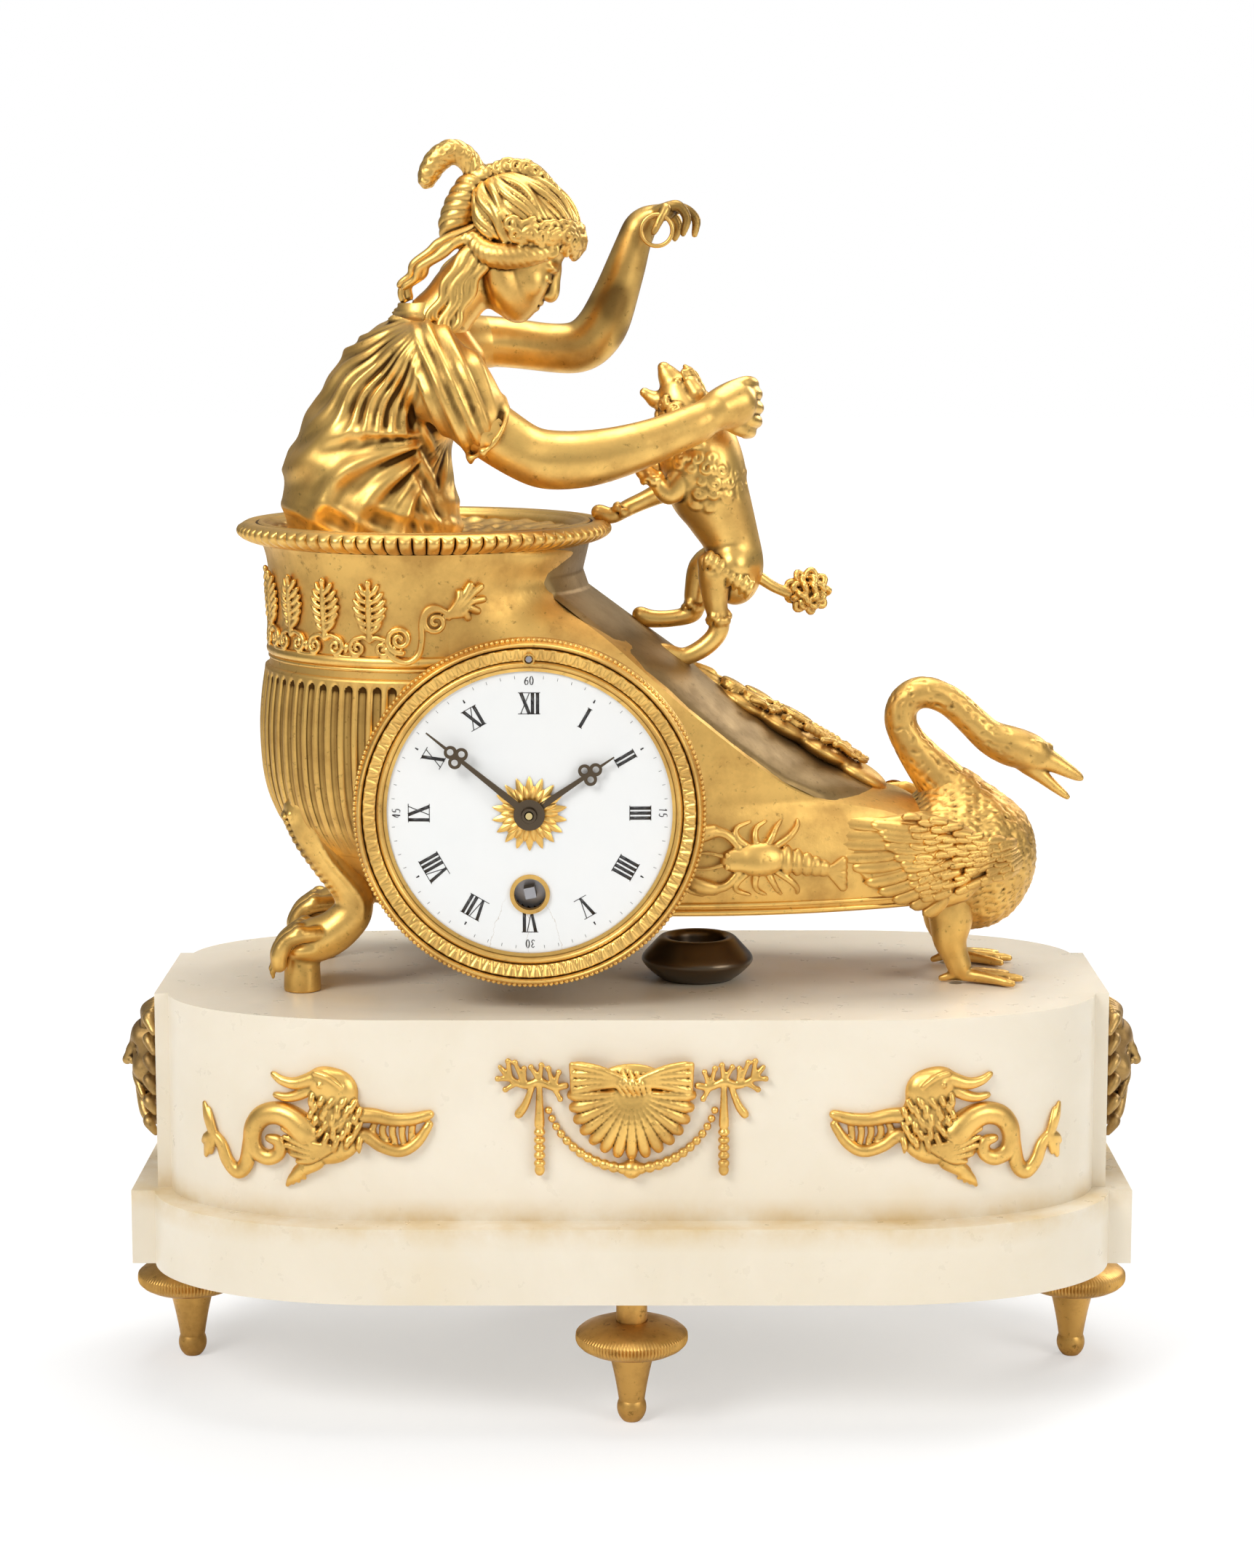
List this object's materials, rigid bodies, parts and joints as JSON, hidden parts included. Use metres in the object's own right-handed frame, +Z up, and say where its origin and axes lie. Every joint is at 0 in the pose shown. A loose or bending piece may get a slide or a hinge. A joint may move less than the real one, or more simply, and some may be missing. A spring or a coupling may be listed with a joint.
{
  "type": "figural mantel clock",
  "caption": "Gilt-bronze mantel clock on a bowed white marble base: a lady in a slipper bath with a drum dial, a begging poodle and a swan, with a working train, hands and pendulum.",
  "frame": {"origin": "on the surface that the clock stands on, under the middle of its base", "axes": "+Z up; the dial faces -Y; the swan looks towards +X"},
  "size_m": [0.3142, 0.147, 0.3739],
  "materials": {
    "marble": "polished white marble with warm staining",
    "gilt_bronze": "fire-gilt bronze, burnished and matt, brown in the recesses",
    "brown_bronze": "matt brown bronze",
    "dark_bronze": "dark patinated bronze",
    "enamel": "white enamel on copper",
    "clock_brass": "polished brass",
    "clock_steel": "blued and bright steel"
  },
  "bodies": {
    "base": {"plinth_lower": "marble", "plinth_upper": "marble", "foot_front": "gilt_bronze", "foot_back": "gilt_bronze", "foot_left": "gilt_bronze", "foot_right": "gilt_bronze", "foot_flanges": "gilt_bronze", "tie_rods": "clock_steel", "fixing_nuts": "clock_steel", "sea_goat_left": "gilt_bronze", "sea_goat_right": "gilt_bronze", "shell_mount": "gilt_bronze", "mask_left": "gilt_bronze", "mask_right": "gilt_bronze", "bath_body": "gilt_bronze", "bath_rim": "gilt_bronze", "water_sheet": "brown_bronze", "lion_leg_front": "gilt_bronze", "lion_leg_back": "gilt_bronze", "swan_body": "gilt_bronze", "swan_neck": "gilt_bronze", "swan_legs": "gilt_bronze", "basin": "dark_bronze", "crayfish": "gilt_bronze", "trophy": "gilt_bronze", "figure_near_arm": "gilt_bronze", "figure_far_arm": "gilt_bronze", "figure_head": "gilt_bronze", "figure_torso": "gilt_bronze", "dog": "gilt_bronze", "dog_tail": "gilt_bronze", "clock_case": "brown_bronze", "hinge_pin": "clock_steel", "bezel": "gilt_bronze", "dial": "enamel", "winding_eyelet": "gilt_bronze", "sunburst": "gilt_bronze", "front_plate": "clock_brass", "back_plate": "clock_brass"},
    "ring": {"treat_ring": "gilt_bronze"},
    "minute": {"minute_hand": "dark_bronze", "cannon_pinion": "clock_steel", "hand_nut": "dark_bronze"},
    "motion": {"minute_wheel": "clock_brass"},
    "hour": {"hour_hand": "dark_bronze", "hour_wheel": "clock_brass"},
    "fourth": {"fourth_wheel": "clock_brass"},
    "escape": {"escape_wheel": "clock_brass"},
    "third": {"third_wheel": "clock_brass"},
    "centre": {"centre_wheel": "clock_brass"},
    "idler": {"idler_wheel": "clock_brass"},
    "going_barrel": {"barrel": "clock_brass", "barrel_cap": "clock_brass", "mainspring": "clock_steel"},
    "winding": {"winding_arbor": "clock_steel"},
    "winding_click": {"click": "clock_steel"},
    "pendulum_swing": {"pendulum": "clock_brass"},
    "anchor_swing": {"anchor": "clock_steel"},
    "regulator": {"regulator_arbor": "clock_steel"},
    "door": {"back_door": "brown_bronze"}
  },
  "joints": [
    {"name": "minute_turn", "type": "hinge", "parent": "base", "child": "minute", "pos_m": [-0.0295, 0, 0.18], "axis": [0, 1, 0], "continuous": true},
    {"name": "motion_turn", "type": "hinge", "parent": "base", "child": "motion", "pos_m": [-0.02066, 0, 0.18884], "axis": [0, 1, 0], "continuous": true},
    {"name": "hour_turn", "type": "hinge", "parent": "base", "child": "hour", "pos_m": [-0.0295, 0, 0.18], "axis": [0, 1, 0], "continuous": true},
    {"name": "fourth_turn", "type": "hinge", "parent": "base", "child": "fourth", "pos_m": [-0.04062, 0, 0.20219], "axis": [0, 1, 0], "continuous": true},
    {"name": "escape_turn", "type": "hinge", "parent": "base", "child": "escape", "pos_m": [-0.0295, 0, 0.2035], "axis": [0, 1, 0], "continuous": true},
    {"name": "third_turn", "type": "hinge", "parent": "base", "child": "third", "pos_m": [-0.042, 0, 0.18882], "axis": [0, 1, 0], "continuous": true},
    {"name": "centre_turn", "type": "hinge", "parent": "base", "child": "centre", "pos_m": [-0.0295, 0, 0.18], "axis": [0, 1, 0], "continuous": true},
    {"name": "idler_turn", "type": "hinge", "parent": "base", "child": "idler", "pos_m": [-0.01458, 0, 0.16994], "axis": [0, 1, 0], "continuous": true},
    {"name": "barrel_turn", "type": "hinge", "parent": "base", "child": "going_barrel", "pos_m": [-0.0295, 0, 0.15625], "axis": [0, 1, 0], "continuous": true},
    {"name": "winding_turn", "type": "hinge", "parent": "base", "child": "winding", "pos_m": [-0.0295, 0, 0.15625], "axis": [0, 1, 0], "continuous": true},
    {"name": "regulator_turn", "type": "hinge", "parent": "base", "child": "regulator", "pos_m": [-0.0295, 0, 0.225], "axis": [0, 1, 0], "continuous": true},
    {"name": "click_lift", "type": "hinge", "parent": "base", "child": "winding_click", "pos_m": [-0.02, 0, 0.15225], "axis": [0, 1, 0], "range_deg": [0, 15]},
    {"name": "pendulum_beat", "type": "hinge", "parent": "base", "child": "pendulum_swing", "pos_m": [-0.0295, 0, 0.225], "axis": [0, 1, 0], "range_deg": [-4, 4]},
    {"name": "anchor_beat", "type": "hinge", "parent": "base", "child": "anchor_swing", "pos_m": [-0.0295, 0, 0.2145], "axis": [0, 1, 0], "range_deg": [-6, 6]},
    {"name": "ring_swing", "type": "hinge", "parent": "base", "child": "ring", "pos_m": [0.0076, 0.0175, 0.35], "axis": [0, 1, 0], "range_deg": [-25, 25]},
    {"name": "door_open", "type": "hinge", "parent": "base", "child": "door", "pos_m": [0.0226, 0.051, 0.18], "axis": [0, 0, -1], "range_deg": [0, 110]}
  ],
  "couplings": [
    {"joint": "motion_turn", "follows": "minute_turn", "ratio": -0.33333},
    {"joint": "hour_turn", "follows": "minute_turn", "ratio": 0.083333},
    {"joint": "escape_turn", "follows": "fourth_turn", "ratio": -6},
    {"joint": "third_turn", "follows": "fourth_turn", "ratio": -0.14286},
    {"joint": "centre_turn", "follows": "fourth_turn", "ratio": 0.019048},
    {"joint": "idler_turn", "follows": "fourth_turn", "ratio": -0.0038095},
    {"joint": "barrel_turn", "follows": "fourth_turn", "ratio": 0.00047619},
    {"joint": "anchor_beat", "follows": "pendulum_beat", "ratio": 1.4667}
  ]
}
